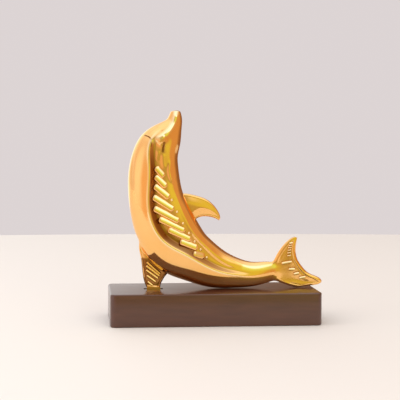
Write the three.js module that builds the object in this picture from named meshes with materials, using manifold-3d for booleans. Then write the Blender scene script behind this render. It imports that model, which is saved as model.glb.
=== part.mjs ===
// A cast metal dolphin on a dark block. Millimetres, +Z up, the tail towards +X.
// The origin is the centre of the block's underside, and the dolphin's mirror plane is Y = 0.
import * as THREE from 'three';
import Module from 'manifold-3d';
import { LoftGeometry } from 'three/addons/geometries/LoftGeometry.js';
import { mergeVertices } from 'three/addons/utils/BufferGeometryUtils.js';

// The block.
const plinthLength = 180;
const plinthDepth = 61;
const plinthHeight = 27.5;
const plinthCornerRadius = 5;
const plinthEdgeRound = 1.2;

// The dolphin, from the block's top to the tip of the beak. Its form is in hundredths of this height.
const figureHeight = 156;
const restGap = 0.3;

// The foot of the lower fin, which stands in a slot in the block.
const footThickness = 4.4;
const footDepthInSlot = 2.4;
const slotSideClearance = 0.4;
const slotEndClearance = 2.4;
const slotBottomClearance = 0.4;

// Thicknesses of the cast fins.
const backFinThickness = 5;
const backFinTipThickness = 2;
const flukeThickness = 4.6;
const flukeTipThickness = 2.2;

// The carved bars: half the width of a bar, how far it stands above the surface around it, and how far
// its root goes down below that surface.
const flankBarHalfWidth = 1.7;
const flankBarRelief = 1.3;
const flankBarRoot = 2.6;
const finBarHalfWidth = 0.95;
const finBarRelief = 0.7;
const finBarRoot = 1.2;
const lobeBarHalfWidth = 0.6;
const flankBarCount = 9;
const finBarCount = 5;
const lobeBarCount = 6;

// The groove along the flank, and the panels sunk into the fins inside a raised rim.
const flankGrooveDepth = 4.2;
const finPanelDepth = 0.6;
const backFinRimWidth = 1.6;
const flukeRimWidth = 2.8;
const lowerFinRimWidth = 1.4;

// The body's section bulges a little more than an ellipse, and the groove takes at most this share of
// its half thickness away.
const bodyFullness = 2.2;
const deepestGroove = 0.5;

// How finely the curved surfaces are faceted. The body's rings crowd towards the beak.
const ringsAlongBody = 50;
const ringCrowding = 1.25;
const placesOverRoll = 7;
const placesDownWall = 3;
const sectionsAlongFlukes = 14;
const sectionsAlongFin = 8;
const longBarStops = [0, 0.1, 0.5, 0.9, 1];
const shortBarStops = [0, 0.15, 0.85, 1];
const barCorners = 6;

const unit = figureHeight / 100;

// Smooth lines in the mirror plane, through points in hundredths of the dolphin's height.
function line(...points) {
  return new THREE.CatmullRomCurve3(points.map(([x, z]) => new THREE.Vector3(x * unit, 0, z * unit)));
}

// A value that changes smoothly along a form, through equally spaced values.
function profile(...values) {
  const curve = new THREE.SplineCurve(values.map((value, i) => new THREE.Vector2(i, value)));
  return (t) => curve.getPoint(t).y;
}

function smoothStep(x, from, to) {
  return THREE.MathUtils.smoothstep(x, from, to);
}

// The body is lofted between its outer line, which runs from the beak over the forehead and the chest to
// the belly, and its inner line, which runs down the hollow of the back. Both have one point for each of
// these places: beak tip, beak, brow, forehead, crown, nape, chest, three at the bend, belly, three along
// the tail, and two in the flukes.
const outerLine = line(
  [-23.6, 100], [-25, 95.9], [-27.2, 93.4], [-33.6, 90.3], [-41.7, 82.9], [-46.8, 67.8],
  [-47.2, 51.7], [-44.9, 36.5], [-39.3, 21.8], [-29.3, 10.3], [-15.8, 4.5], [-2.4, 0.6],
  [11.2, 0], [23.3, 0.8], [32.6, 3.1], [39.9, 4.9],
);
const innerLine = line(
  [-18.4, 100], [-17.6, 94.2], [-17.8, 88], [-18.4, 80.9], [-19.7, 74.3], [-19.5, 67.4],
  [-17.7, 56.1], [-14.5, 48.2], [-9.5, 38.8], [-5.2, 31.6], [-1.4, 27.4], [6.1, 21.1],
  [14.3, 16.7], [22.7, 14.4], [31.4, 14.5], [38.8, 13.2],
);
const halfThickness = profile(
  2.6, 3.4, 4.6, 7.4, 9.6, 10.9, 11.5, 11.7, 11.6, 11.1, 9.9, 8.2, 6.6, 5, 3.6, 0.9,
);

// The lip is where the full outer roll begins to drop into the flank groove, and it drops over the wall's
// width. Both are shares of the way from the middle of the section to its inner line.
const lip = profile(-0.5, -0.5, -0.5, -0.5, -0.46, -0.23, -0.29, -0.38, -0.28, 0, 0, 0, 0, 0, 0, 0);
const grooveStrength = profile(0, 0, 0, 0.05, 0.5, 0.9, 1, 1, 0.9, 0.75, 0.6, 0.45, 0.2, 0, 0, 0);
const wallWidth = 0.3;

// The beak's tip is rounded over this length, and its first section keeps this share of its full size.
const beakRound = 2.3 * unit;
const beakTipShare = 0.3;

function bodySection(t) {
  const outer = outerLine.getPoint(t);
  const inner = innerLine.getPoint(t);
  const middle = outer.clone().add(inner).multiplyScalar(0.5);
  const fromTip = outerLine.getPoint(0).add(innerLine.getPoint(0)).multiplyScalar(0.5).distanceTo(middle);
  const flat = Math.max(0, 1 - fromTip / beakRound);
  const share = Math.max(beakTipShare, Math.sqrt(1 - flat * flat));
  return {
    middle,
    across: inner.sub(outer).multiplyScalar(0.5 * share),
    thickness: halfThickness(t) * unit * share,
    lip: lip(t),
    groove: flankGrooveDepth * grooveStrength(t),
  };
}

// Half the body's thickness at a place across a section, from -1 at the outer line to 1 at the inner line.
function flankHeight(section, across) {
  const full = section.thickness * Math.sqrt(Math.max(0, 1 - Math.pow(Math.abs(across), bodyFullness)));
  const wall = smoothStep(across, section.lip, section.lip + wallWidth);
  const rise = 1 - smoothStep(across, section.lip + wallWidth, 1);
  return full - Math.min(section.groove * wall * rise, deepestGroove * full);
}

// Places across the flank: over the outer roll, down the wall of the groove, and over the inner roll.
function flankPlaces(section) {
  const foot = section.lip + wallWidth;
  const places = [];
  for (let i = 0; i < placesOverRoll; i++) {
    const share = 1 - Math.cos((0.5 * Math.PI * i) / placesOverRoll);
    places.push(-1 + (section.lip + 1) * share);
  }
  for (let i = 0; i < placesDownWall; i++) {
    places.push(section.lip + (wallWidth * i) / placesDownWall);
  }
  for (let i = 0; i <= placesOverRoll; i++) {
    const share = Math.sin((0.5 * Math.PI * i) / placesOverRoll);
    places.push(foot + (1 - foot) * share);
  }
  return places;
}

// The ring of a section: along one flank from the outer line to the inner line and back along the other.
function ring(section, places, heightAt) {
  const points = [];
  const last = places.length - 1;
  for (let i = 0; i < last; i++) {
    points.push(ringPoint(section, places[i], -heightAt(places[i])));
  }
  for (let i = last; i > 0; i--) {
    points.push(ringPoint(section, places[i], heightAt(places[i])));
  }
  return points;
}

function ringPoint(section, across, y) {
  const point = section.middle.clone().addScaledVector(section.across, across);
  point.y = y;
  return point;
}

const wasm = await Module();
wasm.setup();

// A solid of a lofted or extruded shape, with shared vertices and no collapsed triangles.
function solid(geometry) {
  const surface = new THREE.BufferGeometry();
  surface.setAttribute('position', geometry.getAttribute('position'));
  surface.setIndex(geometry.getIndex());
  const merged = mergeVertices(surface, 1e-4);
  const index = merged.index.array;
  const triangles = [];
  for (let i = 0; i < index.length; i += 3) {
    const [a, b, c] = [index[i], index[i + 1], index[i + 2]];
    if (a !== b && b !== c && c !== a) {
      triangles.push(a, b, c);
    }
  }
  const vertProperties = new Float32Array(merged.attributes.position.array);
  const triVerts = new Uint32Array(triangles);
  return new wasm.Manifold(new wasm.Mesh({ numProp: 3, vertProperties, triVerts }));
}

function centreOf(section) {
  const sum = section.reduce((total, point) => total.add(point), new THREE.Vector3());
  return sum.divideScalar(section.length);
}

// A closed loft. Its rings all turn the same way about the direction that they follow.
function loft(sections) {
  const heading = centreOf(sections[1]).sub(centreOf(sections[0]));
  const normal = new THREE.Vector3();
  sections[0].forEach((point, i) => {
    const next = sections[0][(i + 1) % sections[0].length];
    normal.add(new THREE.Vector3().crossVectors(point, next));
  });
  const rings = normal.dot(heading) > 0 ? sections : sections.map((section) => section.toReversed());
  return solid(new LoftGeometry(rings, { closed: true, capStart: true, capEnd: true }));
}

function geometryOf(made) {
  const mesh = made.getMesh();
  const geometry = new THREE.BufferGeometry();
  const positions = [];
  for (let i = 0; i < mesh.numVert; i++) {
    positions.push(...mesh.vertProperties.slice(i * mesh.numProp, i * mesh.numProp + 3));
  }
  geometry.setAttribute('position', new THREE.Float32BufferAttribute(positions, 3));
  geometry.setIndex(Array.from(mesh.triVerts));
  geometry.computeVertexNormals();
  return geometry;
}

function body() {
  const sections = [];
  for (let i = 0; i <= ringsAlongBody; i++) {
    const section = bodySection(Math.pow(i / ringsAlongBody, ringCrowding));
    sections.push(ring(section, flankPlaces(section), (across) => flankHeight(section, across)));
  }
  return loft(sections);
}

// Half the body's thickness at a point of the mirror plane, found on the section that passes through it.
const searchFrom = 0.15;
const searchTo = 0.95;
const searchStep = 0.002;

function bodyHeightAt(point) {
  let best = { miss: Infinity, height: 0 };
  for (let t = searchFrom; t <= searchTo; t += searchStep) {
    const section = bodySection(t);
    const offset = point.clone().sub(section.middle);
    const across = offset.dot(section.across) / section.across.lengthSq();
    const miss = offset.addScaledVector(section.across, -across).length();
    if (miss < best.miss && Math.abs(across) < 1) {
      best = { miss, height: flankHeight(section, across) };
    }
  }
  return best.height;
}

// A fin is lofted across from its leading edge to its trailing edge. Its thickness rounds off at both
// edges, and a panel is sunk into each face inside a rim. The shares place the ring's points: one where
// the rounded edge begins, one on the panel's floor, and the rim's widest share of a narrow section.
const finEdgeRound = 5;
const panelWall = 0.7;
const edgeShare = 0.15;
const floorShare = 0.4;
const widestRim = 0.5;
const widestWall = 0.2;

function finHeight(section, thickness, rimWidth, across) {
  const full = 0.5 * thickness * Math.sqrt(Math.max(0, 1 - Math.pow(Math.abs(across), finEdgeRound)));
  const fromEdge = (1 - Math.abs(across)) * section.across.length();
  return full - finPanelDepth * smoothStep(fromEdge, rimWidth, rimWidth + panelWall);
}

function finPlaces(section, rimWidth) {
  const rim = Math.min(widestRim, rimWidth / section.across.length());
  const wall = Math.min(widestWall, panelWall / section.across.length());
  const half = [1, 1 - edgeShare * rim, 1 - rim, 1 - rim - wall, floorShare * (1 - rim - wall)];
  return [...half.map((place) => -place), ...half.toReversed()];
}

function fin(leading, trailing, thicknessAt, rimWidth, steps) {
  const sections = [];
  for (let i = 0; i <= steps; i++) {
    const t = i / steps;
    const front = leading.getPoint(t);
    const back = trailing.getPoint(t);
    const section = {
      middle: front.clone().add(back).multiplyScalar(0.5),
      across: back.sub(front).multiplyScalar(0.5),
    };
    const heightAt = (across) => finHeight(section, thicknessAt(t), rimWidth, across);
    sections.push(ring(section, finPlaces(section, rimWidth), heightAt));
  }
  return loft(sections);
}

// The back fin: a curved blade whose tip points back and down.
const backFinLeading = line(
  [-20.4, 51.7], [-15.9, 52.8], [-9.7, 51.7], [-3.7, 49.6], [1, 45.7], [3.7, 41.4], [4.2, 38.9],
);
const backFinTrailing = line(
  [-14.8, 31.9], [-11.7, 36.1], [-8.3, 39.2], [-3.9, 40], [0.2, 39.3], [2.3, 38.4], [3.5, 37.8],
);

function backFin() {
  const thicknessAt = (t) => THREE.MathUtils.lerp(backFinThickness, backFinTipThickness, t * t);
  return fin(backFinLeading, backFinTrailing, thicknessAt, backFinRimWidth, sectionsAlongFin);
}

// The tail flukes: from the upper tip past the tail to the lower tip.
const flukeLeading = line(
  [46.5, 28.4], [43.4, 26.9], [38.7, 22], [35.4, 16.6], [32.9, 11.1], [34.5, 4.6],
  [40.3, 1.9], [46.9, 0.1], [51.7, 0.5], [58.7, 1.3], [61.8, 2.6],
);
const flukeTrailing = line(
  [48, 27.9], [47.4, 24.6], [47.2, 20.1], [48.1, 15.9], [49.8, 13.1], [52.2, 10.1],
  [54.4, 8.2], [56.8, 7], [59.1, 6.1], [61, 5], [62, 3.8],
);

function flukes() {
  const thicknessAt = (t) => {
    const fromMiddle = Math.abs(2 * t - 1);
    return THREE.MathUtils.lerp(flukeThickness, flukeTipThickness, Math.pow(fromMiddle, 4));
  };
  return fin(flukeLeading, flukeTrailing, thicknessAt, flukeRimWidth, sectionsAlongFlukes);
}

// The lower fin, from inside the belly down to its foot.
const lowerFinLeading = line(
  [-38.4, 29.1], [-41.4, 24.3], [-40.3, 17.9], [-39.4, 11.1], [-38.5, 4.9], [-36.9, 0.5],
);
const lowerFinTrailing = line(
  [-19.3, 14.5], [-22.9, 10.4], [-26, 7.4], [-27.8, 4.8], [-29, 2.4], [-29.3, 0.2],
);

function lowerFin() {
  const thicknessAt = () => footThickness;
  const blade = fin(lowerFinLeading, lowerFinTrailing, thicknessAt, lowerFinRimWidth, sectionsAlongFin);
  return blade.add(foot());
}

// The foot that goes down into the slot, as wide as the lower fin is at the block's top.
const footFront = lowerFinLeading.getPoint(1).x;
const footBack = lowerFinTrailing.getPoint(1).x;
const footRoot = 1.5;

function foot() {
  const height = footDepthInSlot + restGap + footRoot;
  const box = new THREE.BoxGeometry(footBack - footFront, footThickness, height);
  box.translate(0.5 * (footFront + footBack), 0, footRoot - 0.5 * height);
  return solid(box);
}

// A raised bar along a path, with narrow rounded ends. Its size gives half its width, its relief above
// the surface and the depth of its root below.
const barEndShare = 0.35;

function bar(path, stops, size, heightAt, side) {
  const sections = [];
  for (const t of stops) {
    const end = Math.min(t, 1 - t) * path.getLength();
    const short = Math.max(0, 1 - end / size.halfWidth);
    const swell = Math.max(barEndShare, Math.sqrt(1 - short * short));
    const middle = path.getPoint(t);
    const heading = path.getTangent(t);
    const aside = new THREE.Vector3(heading.z, 0, -heading.x);
    const height = heightAt(middle);
    const corner = [];
    for (let k = 0; k < barCorners; k++) {
      const angle = (2 * Math.PI * k) / barCorners;
      const reach = Math.sin(angle) > 0 ? size.relief : size.root;
      const point = middle.clone().addScaledVector(aside, size.halfWidth * swell * Math.cos(angle));
      point.y = side * (height + reach * swell * Math.sin(angle));
      corner.push(point);
    }
    sections.push(corner);
  }
  return loft(sections);
}

function onBothSides(makeOne) {
  return [-1, 1].map(makeOne);
}

// The slanted bars in the flank groove, between the foot of its wall and the inner roll.
const barHeads = line([-31.7, 66.3], [-31.5, 55.9], [-30.3, 43.5], [-22.5, 32.1], [-10.4, 19.7]);
const barTails = line([-27.4, 61.5], [-24, 49.8], [-17.7, 37], [-11.1, 26.9], [-4.3, 18]);
const flankBarSize = { halfWidth: flankBarHalfWidth, relief: flankBarRelief, root: flankBarRoot };

function flankBars() {
  const bars = [];
  for (let i = 0; i < flankBarCount; i++) {
    const t = i / (flankBarCount - 1);
    const path = new THREE.LineCurve3(barHeads.getPoint(t), barTails.getPoint(t));
    bars.push(...onBothSides((side) => bar(path, longBarStops, flankBarSize, bodyHeightAt, side)));
  }
  return bars;
}

// A bar on the panel of a fin.
function finBar(path, halfWidth, thickness, side) {
  const size = { halfWidth, relief: finBarRelief, root: finBarRoot };
  const heightAt = () => 0.5 * thickness - finPanelDepth;
  return bar(path, shortBarStops, size, heightAt, side);
}

// The bars on the lower fin, which slant down from its leading edge to its trailing edge.
const lowerBarHeads = line([-37, 14.8], [-37.3, 10.5], [-36.4, 4.1]);
const lowerBarTails = line([-29.1, 8.1], [-30.3, 5.5], [-33.4, 1.6]);

function lowerFinBars() {
  const bars = [];
  for (let i = 0; i < finBarCount; i++) {
    const t = i / (finBarCount - 1);
    const path = new THREE.LineCurve3(lowerBarHeads.getPoint(t), lowerBarTails.getPoint(t));
    bars.push(...onBothSides((side) => finBar(path, finBarHalfWidth, footThickness, side)));
  }
  return bars;
}

// The bars on the flukes: short ones up the upper lobe, then long ones down the lower lobe.
const lobeBarMiddles = line([45.1, 25.9], [44.4, 23.8], [43.6, 21.5], [43.6, 17.9]);
const lobeBarHalfLength = 1.4 * unit;
const lobeBarRise = 0.35 * unit;
const longBars = [
  line([38.9, 13.4], [41.6, 14], [45, 14.5]),
  line([42.9, 10.1], [44.7, 10.3], [46.8, 10.3]),
  line([45.7, 7.4], [47.4, 7.8], [49.2, 8.1]),
  line([48.9, 5.1], [50.8, 5.6], [52.9, 5.9]),
];

function flukeBars() {
  const bars = [];
  for (const path of longBars) {
    bars.push(...onBothSides((side) => finBar(path, finBarHalfWidth, flukeThickness, side)));
  }
  for (let i = 0; i < lobeBarCount; i++) {
    const middle = lobeBarMiddles.getPoint(i / (lobeBarCount - 1));
    const half = new THREE.Vector3(lobeBarHalfLength, 0, lobeBarRise);
    const path = new THREE.LineCurve3(middle.clone().sub(half), middle.clone().add(half));
    bars.push(...onBothSides((side) => finBar(path, lobeBarHalfWidth, flukeThickness, side)));
  }
  return bars;
}

function dolphin() {
  let figure = body();
  const limbs = [backFin(), flukes(), lowerFin()];
  for (const made of [...limbs, ...flankBars(), ...lowerFinBars(), ...flukeBars()]) {
    figure = figure.add(made);
  }
  return figure;
}

// A rectangle with rounded corners.
function roundedRectangle(length, depth, radius) {
  const shape = new THREE.Shape();
  const [x, y] = [0.5 * length - radius, 0.5 * depth - radius];
  shape.absarc(x, y, radius, 0, 0.5 * Math.PI);
  shape.absarc(-x, y, radius, 0.5 * Math.PI, Math.PI);
  shape.absarc(-x, -y, radius, Math.PI, 1.5 * Math.PI);
  shape.absarc(x, -y, radius, 1.5 * Math.PI, 2 * Math.PI);
  shape.closePath();
  return shape;
}

function plinth() {
  const outline = roundedRectangle(
    plinthLength - 2 * plinthEdgeRound,
    plinthDepth - 2 * plinthEdgeRound,
    plinthCornerRadius - plinthEdgeRound,
  );
  const block = new THREE.ExtrudeGeometry(outline, {
    depth: plinthHeight - 2 * plinthEdgeRound,
    bevelThickness: plinthEdgeRound,
    bevelSize: plinthEdgeRound,
    bevelSegments: 2,
    curveSegments: 3,
  });
  block.translate(0, 0, plinthEdgeRound);
  const slotLength = footBack - footFront + 2 * slotEndClearance;
  const slotDepth = footDepthInSlot + slotBottomClearance;
  const slot = new THREE.BoxGeometry(slotLength, footThickness + 2 * slotSideClearance, 2 * slotDepth);
  slot.translate(0.5 * (footFront + footBack), 0, plinthHeight);
  return solid(block).subtract(solid(slot));
}

const gold = new THREE.MeshStandardMaterial({ color: 0xe0963a, metalness: 1, roughness: 0.12 });
const darkBrown = new THREE.MeshStandardMaterial({ color: 0x4a2f27, metalness: 0, roughness: 0.42 });

const group = new THREE.Group();

const plinthMesh = new THREE.Mesh(geometryOf(plinth()), darkBrown);
plinthMesh.name = 'plinth';
group.add(plinthMesh);

const dolphinMesh = new THREE.Mesh(geometryOf(dolphin()), gold);
dolphinMesh.name = 'dolphin';
dolphinMesh.position.z = plinthHeight + restGap;
group.add(dolphinMesh);

export default group;
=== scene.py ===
import math

import bmesh
import bpy
import numpy as np
from bpy.props import FloatProperty, FloatVectorProperty, IntProperty, PointerProperty
from mathutils import Matrix, Vector
from mathutils.kdtree import KDTree


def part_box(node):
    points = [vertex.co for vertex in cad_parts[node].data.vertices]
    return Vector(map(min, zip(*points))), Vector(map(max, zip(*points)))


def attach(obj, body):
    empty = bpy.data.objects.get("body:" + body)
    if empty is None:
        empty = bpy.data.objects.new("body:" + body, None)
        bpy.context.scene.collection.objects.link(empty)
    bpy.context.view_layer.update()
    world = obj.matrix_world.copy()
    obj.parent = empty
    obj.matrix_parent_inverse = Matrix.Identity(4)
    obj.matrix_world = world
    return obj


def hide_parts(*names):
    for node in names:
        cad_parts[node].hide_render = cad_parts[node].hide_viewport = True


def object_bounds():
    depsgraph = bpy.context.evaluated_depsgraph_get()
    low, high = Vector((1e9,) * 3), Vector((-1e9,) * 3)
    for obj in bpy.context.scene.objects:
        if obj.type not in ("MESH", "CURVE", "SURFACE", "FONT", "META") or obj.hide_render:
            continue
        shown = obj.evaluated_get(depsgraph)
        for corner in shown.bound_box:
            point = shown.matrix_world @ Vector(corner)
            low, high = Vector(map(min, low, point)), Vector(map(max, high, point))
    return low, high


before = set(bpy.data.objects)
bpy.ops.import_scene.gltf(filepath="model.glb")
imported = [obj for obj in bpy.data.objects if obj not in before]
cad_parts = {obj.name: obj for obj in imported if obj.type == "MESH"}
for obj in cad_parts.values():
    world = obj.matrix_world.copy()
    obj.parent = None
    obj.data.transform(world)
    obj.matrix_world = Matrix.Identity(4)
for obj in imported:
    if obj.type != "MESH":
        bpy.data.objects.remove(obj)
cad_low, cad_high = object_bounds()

bl_info = {
    "name": "Metal dolphin figurine",
    "version": (1, 0, 0),
    "blender": (4, 5, 0),
    "location": "3D View > Sidebar > Dolphin",
    "description": "A polished cast dolphin on a dark block, with its stage",
    "category": "Add Mesh",
}

MM = 0.001

# The block's top, where the dolphin's lowest outlines begin, and a hundredth of the dolphin's height.
block_low, block_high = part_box("plinth")
figure_low, figure_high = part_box("dolphin")
REST_GAP = 0.3 * MM
FOOT_LEVEL = block_high.z + REST_GAP
UNIT = (figure_high.z - FOOT_LEVEL) / 100


# Smooth curves and steps


def through(*values):
    """A smooth curve through equally spaced values, as a function of the way along it from 0 to 1."""
    known = np.array(values, float)
    last = len(known) - 1
    bends = np.zeros_like(known)
    band = 4 * np.eye(last - 1) + np.eye(last - 1, k=1) + np.eye(last - 1, k=-1)
    bends[1:-1] = np.linalg.solve(band, 6 * (known[:-2] - 2 * known[1:-1] + known[2:]))

    def at(way):
        place = np.clip(np.asarray(way, float), 0, 1) * last
        start = np.minimum(place.astype(int), last - 1)
        ahead = place - start
        if known.ndim == 2:
            ahead = ahead[..., None]
        behind = 1 - ahead
        value = behind * known[start] + ahead * known[start + 1]
        value += (behind**3 - behind) * bends[start] / 6
        return value + (ahead**3 - ahead) * bends[start + 1] / 6

    return at


def line(*points):
    """A smooth line in the mirror plane, through points in hundredths of the dolphin's height."""
    return through(*[(x * UNIT, FOOT_LEVEL + z * UNIT) for x, z in points])


def smooth_step(value, start, end):
    share = np.clip((value - start) / (end - start), 0, 1)
    return share * share * (3 - 2 * share)


def length_of(vectors):
    return np.linalg.norm(vectors, axis=-1)


def shares(count):
    """Equally spaced ways from 0 to 1."""
    return [i / (count - 1) for i in range(count)]


# The body's form: its outer line over the forehead, the chest and the belly, its inner line down the
# hollow of the back, and what changes from the beak to the tail
OUTER = line(
    (-23.6, 98.9), (-25, 95.7), (-27.2, 93.4), (-33.6, 90.3), (-41.7, 82.9), (-46.8, 67.8),
    (-47.2, 51.7), (-44.9, 36.5), (-39.3, 21.8), (-29.3, 10.3), (-15.8, 4.5), (-2.4, 0.6),
    (11.2, 0), (23.3, 0.8), (32.6, 3.1), (39.9, 4.9),
)
INNER = line(
    (-18.7, 99.2), (-17.5, 94.2), (-17.8, 88), (-18.4, 80.9), (-19.7, 74.3), (-19.5, 67.4),
    (-17.7, 56.1), (-14.5, 48.2), (-9.5, 38.8), (-5.2, 31.6), (-1.4, 27.4), (6.1, 21.1),
    (14.3, 16.7), (22.7, 14.4), (31.4, 14.5), (38.8, 13.2),
)
HALF_THICKNESS = through(
    2.6, 3.4, 4.6, 7.4, 9.6, 10.9, 11.5, 11.7, 11.6, 11.1, 9.9, 8.2, 6.5, 4.7, 2.5, 0.1,
)
LIP = through(-0.5, -0.5, -0.5, -0.5, -0.46, -0.23, -0.29, -0.38, -0.28, 0, 0, 0, 0, 0, 0, 0)
GROOVE_STRENGTH = through(0, 0, 0, 0.05, 0.5, 0.95, 1, 1, 1, 0.9, 0.75, 0.55, 0.3, 0.05, 0, 0)
WALL_WIDTH = 0.27
WALL_BULGE = 0.75
BODY_FULLNESS = 2.2
DEEPEST_GROOVE = 0.55
BEAK_ROUND = 1 * UNIT
BEAK_TIP_SHARE = 0.04
RING_CROWDING = 1.35
BEAD_WIDTH = 0.9 * MM

# Shares of the way across a flank where the outer roll ends and where the groove's wall ends
ROLL_END = 0.4
WALL_END = 0.56


class Section:
    """Sections through the body, at ways along it from 0 at the beak to 1 in the flukes."""

    def __init__(self, way, groove_depth):
        outer, inner = OUTER(way), INNER(way)
        self.middle = (outer + inner) / 2
        tip = (OUTER(0) + INNER(0)) / 2
        flat = np.clip(1 - length_of(self.middle - tip) / BEAK_ROUND, 0, 1)
        share = np.maximum(BEAK_TIP_SHARE, np.sqrt(1 - flat * flat))
        self.across = (inner - outer) / 2 * share[..., None]
        self.thickness = HALF_THICKNESS(way) * UNIT * share
        self.lip = LIP(way)
        self.strength = np.clip(GROOVE_STRENGTH(way), 0, 1)
        self.groove = groove_depth * self.strength


def flank_place(section, share):
    """Where a share of the flank's points lies across a section, from -1 on the outer line to 1."""
    quarter = math.pi / 2
    foot = section.lip + WALL_WIDTH
    over_roll = -1 + (section.lip + 1) * (1 - np.cos(math.pi * np.clip(share / ROLL_END, 0, 1))) / 2
    down_wall = section.lip + WALL_WIDTH * (share - ROLL_END) / (WALL_END - ROLL_END)
    inside = np.clip((share - WALL_END) / (1 - WALL_END), 0, 1)
    over_inner = foot + (1 - foot) * np.sin(quarter * inside)
    return np.where(share <= ROLL_END, over_roll, np.where(share <= WALL_END, down_wall, over_inner))


def flank_height(section, across, lip_bead):
    """Half the body's thickness at a place across a section."""
    bulge = 1 - np.abs(across) ** BODY_FULLNESS
    full = section.thickness * np.sqrt(np.clip(bulge, 0, None))
    foot = section.lip + WALL_WIDTH
    wall = smooth_step(np.clip((across - section.lip) / WALL_WIDTH, 0, 1) ** WALL_BULGE, 0, 1)
    rise = 1 - smooth_step(across, foot, 1)
    hollow = np.minimum(section.groove * wall * rise, DEEPEST_GROOVE * full)
    from_lip = (across - section.lip) * length_of(section.across) + BEAD_WIDTH
    bead = lip_bead * section.strength * np.exp(-((from_lip / BEAD_WIDTH) ** 2))
    return full - hollow + bead


# Folds raised along lines on the flank: the line, the height, and the widths to the left and the right
# of its run. A height below 0 makes a crease
BEAK_RIDGE = line((-20.9, 99), (-22.3, 93.9), (-24.7, 88.9), (-29.2, 84.8), (-34.4, 81.8))
BREAST_CREASE = line((-24.3, 72), (-25.5, 66.9), (-25.2, 63.5), (-24.5, 61.3), (-22.8, 58.2))
BACK_FLUTE = line(
    (-22.7, 56.7), (-20.4, 49.4), (-16.5, 39.8), (-11.4, 30.8), (-3.5, 22.4), (5.5, 15), (15.7, 11.1),
)
SPINE_FLUTE = line((-18.1, 49.4), (-13.6, 39.8), (-8, 31.4), (-0.1, 23.5), (8.9, 17.3), (19, 13.4))
CHEST_LINE = line((-42.4, 81.5), (-44.3, 76.5), (-45.3, 70.3), (-45.8, 63), (-45.5, 55))
GROOVE_RIDGE = line((-31.4, 77.7), (-31.9, 73.1), (-32.6, 71.7))
MOUTH = line((-23.2, 95.7), (-24.4, 92), (-26.6, 88.9), (-28.5, 87.4), (-30.5, 86.6))
FOREHEAD = line((-37.9, 84.6), (-35.9, 87), (-33.4, 88.8), (-30.8, 90.4))
GROOVE_LIGHT = line((-28.9, 75.6), (-28.8, 71), (-28, 66.5))
CHEEK = line((-32, 80.8), (-29.8, 82.2), (-27.2, 84.6))
FOLDS = (
    (CHEEK, 0.7 * MM, 3.4 * MM, 3.4 * MM),
    (GROOVE_LIGHT, 0.4 * MM, 1.6 * MM, 1.6 * MM),
    (BEAK_RIDGE, 1.8 * MM, 4.5 * MM, 2.4 * MM),
    (MOUTH, -0.45 * MM, 1.1 * MM, 1.1 * MM),
    (FOREHEAD, -0.5 * MM, 1 * MM, 1 * MM),
    (GROOVE_RIDGE, 0.5 * MM, 1.2 * MM, 1.2 * MM),
    (CHEST_LINE, -1.3 * MM, 1 * MM, 1 * MM),
    (BREAST_CREASE, 0.8 * MM, 3 * MM, 1 * MM),
    (BACK_FLUTE, 0.5 * MM, 3 * MM, 1.1 * MM),
    (SPINE_FLUTE, 0.4 * MM, 2.6 * MM, 1 * MM),
)

# Folds fade over a share of their length at either end, and of the half width at the body's outlines
FOLD_FADE = 0.18
FOLD_EDGE = 0.15

# How many corners stand for a path where distances along it or to it are measured
PATH_CORNERS = 40


def fold_height(points):
    """How far the folds raise the flank at points of the mirror plane."""
    total = np.zeros(len(points))
    for path, height, left, right in FOLDS:
        corners = path(np.linspace(0, 1, PATH_CORNERS))
        step = np.diff(corners, axis=0)
        offset = points[:, None, :] - corners[:-1]
        share = np.clip((offset * step).sum(-1) / (step**2).sum(-1), 0, 1)
        gap = length_of(offset - share[..., None] * step)
        nearest = gap.argmin(axis=1)
        rows = np.arange(len(points))
        turn = step[:, 0] * offset[..., 1] - step[:, 1] * offset[..., 0]
        width = np.where(turn[rows, nearest] > 0, left, right)
        way = (nearest + share[rows, nearest]) / len(step)
        fade = smooth_step(way, 0, FOLD_FADE) * (1 - smooth_step(way, 1 - FOLD_FADE, 1))
        total += height * fade * np.exp(-((gap[rows, nearest] / width) ** 2))
    return total


SEARCH_WAYS = np.linspace(0.02, 0.97, 900)


def body_height_at(points, settings):
    """Half the body's thickness at points of the mirror plane, on the sections that pass through them."""
    section = Section(SEARCH_WAYS, settings.groove_depth)
    offset = points[:, None, :] - section.middle[None]
    across = (offset * section.across).sum(-1) / (section.across**2).sum(-1)
    miss = length_of(offset - across[..., None] * section.across)
    miss = np.where(np.abs(across) < 1, miss, np.inf)
    best = miss.argmin(axis=1)
    rows = np.arange(len(points))
    heights = flank_height(section, across, settings.lip_bead)
    return heights[rows, best] + fold_height(points)


# Shells: a grid is wrapped round a form, its columns along the form and its rows round it
MERGE_DISTANCE = 0.002 * MM


def wrapped_grid(columns, rows, place):
    shell = bmesh.new()
    bmesh.ops.create_grid(shell, x_segments=columns, y_segments=rows, size=1)
    flat = np.array([vert.co for vert in shell.verts])
    along = (flat[:, 0] + 1) / 2
    around = (flat[:, 1] + 1) / 2
    share = 1 - np.abs(2 * around - 1)
    side = np.where(around < 0.5, -1, 1)
    for vert, point in zip(shell.verts, place(along, share, side)):
        vert.co = point
    bmesh.ops.remove_doubles(shell, verts=shell.verts, dist=MERGE_DISTANCE)
    bmesh.ops.holes_fill(shell, edges=shell.edges, sides=0)
    bmesh.ops.recalc_face_normals(shell, faces=shell.faces)
    return shell


def in_space(plane_points, y):
    return np.column_stack((plane_points[:, 0], y, plane_points[:, 1]))


def box_shell(size, middle):
    shell = bmesh.new()
    bmesh.ops.create_cube(shell, size=1)
    bmesh.ops.scale(shell, verts=shell.verts, vec=size)
    bmesh.ops.translate(shell, verts=shell.verts, vec=middle)
    return shell


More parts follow.
